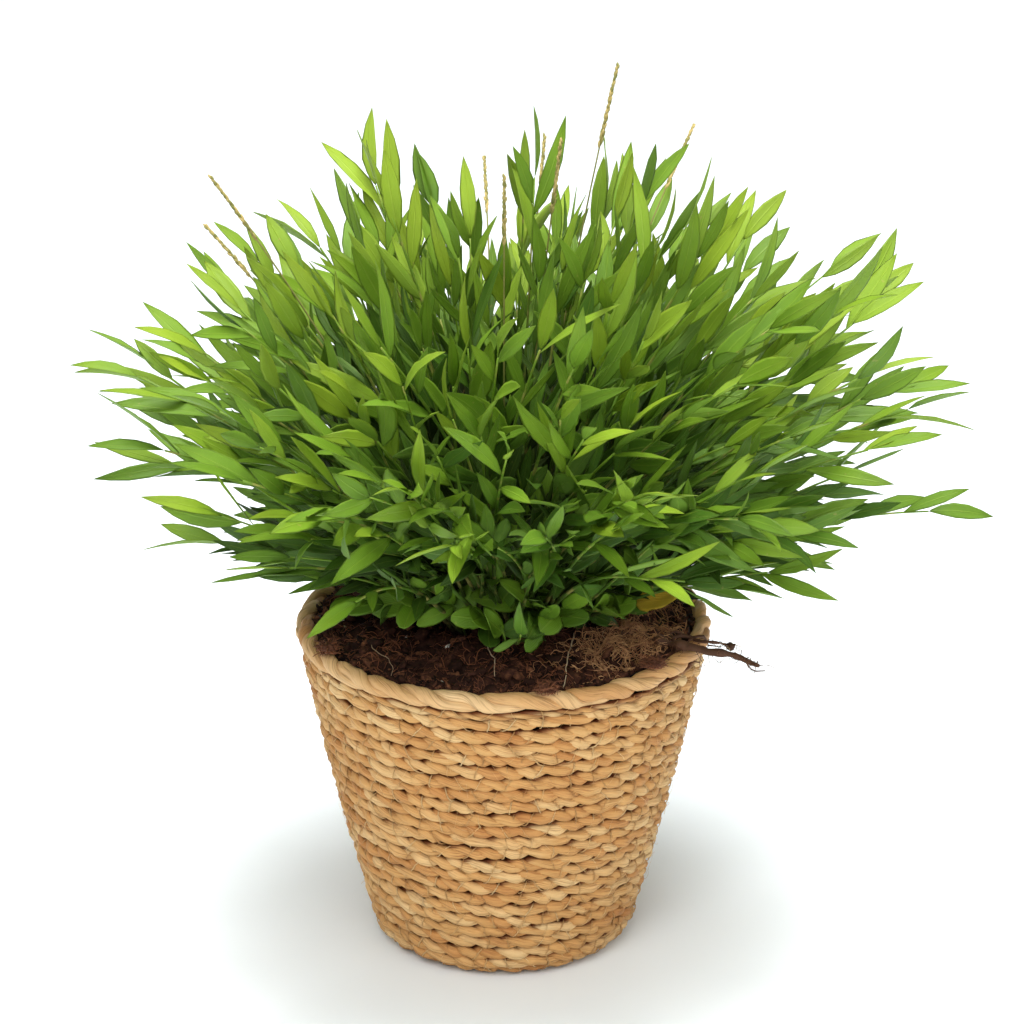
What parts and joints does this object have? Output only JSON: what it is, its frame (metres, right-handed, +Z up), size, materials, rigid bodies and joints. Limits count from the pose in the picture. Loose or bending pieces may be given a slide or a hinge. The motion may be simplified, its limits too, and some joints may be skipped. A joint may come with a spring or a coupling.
{
  "type": "bamboo grass in a basket",
  "caption": "Clump of bamboo grass with lance-shaped leaves and thin flower spikes, growing in peat in a round tapered basket of coiled seagrass rope with a braided rim.",
  "frame": {"origin": "centre of the basket's flat underside", "axes": "+Z up; -Y is the side seen in front; +X is to its right"},
  "size_m": [0.3018, 0.2744, 0.2942],
  "materials": {
    "seagrass": "matte",
    "braid": "matte",
    "liner": "satin",
    "peat": "matte",
    "leaf": "satin",
    "low_leaf": "satin",
    "straw": "matte",
    "root": "matte",
    "pink_shoot": "satin"
  },
  "bodies": {
    "root": {"basket_wall": "seagrass", "basket_base": "seagrass", "rim_braid": "braid", "liner": "liner", "soil": "peat", "culm_01": "leaf", "culm_02": "leaf", "culm_03": "leaf", "culm_04": "leaf", "culm_05": "leaf", "culm_06": "leaf", "culm_07": "leaf", "culm_08": "leaf", "culm_09": "leaf", "culm_10": "leaf", "culm_11": "leaf", "culm_12": "leaf", "culm_13": "leaf", "culm_14": "leaf", "culm_15": "leaf", "culm_16": "leaf", "culm_17": "leaf", "culm_18": "leaf", "culm_19": "leaf", "culm_20": "leaf", "culm_21": "leaf", "culm_22": "leaf", "culm_23": "leaf", "culm_24": "leaf", "culm_25": "leaf", "culm_26": "leaf", "culm_27": "leaf", "culm_28": "leaf", "culm_29": "leaf", "culm_30": "leaf", "culm_31": "leaf", "culm_32": "leaf", "low_shoot_01": "low_leaf", "low_shoot_02": "low_leaf", "low_shoot_03": "low_leaf", "low_shoot_04": "low_leaf", "low_shoot_05": "low_leaf", "low_shoot_06": "low_leaf", "flower_spike_01": "straw", "flower_spike_02": "straw", "flower_spike_03": "straw", "flower_spike_04": "straw", "flower_spike_05": "straw", "flower_spike_06": "straw", "flower_spike_07": "straw", "flower_spike_08": "straw", "root_over_rim": "root", "thin_root_over_rim": "root", "fibre_clump_left": "peat", "fibre_clump_front": "peat", "fibre_clump_right": "peat", "young_shoot": "pink_shoot"}
  },
  "joints": []
}
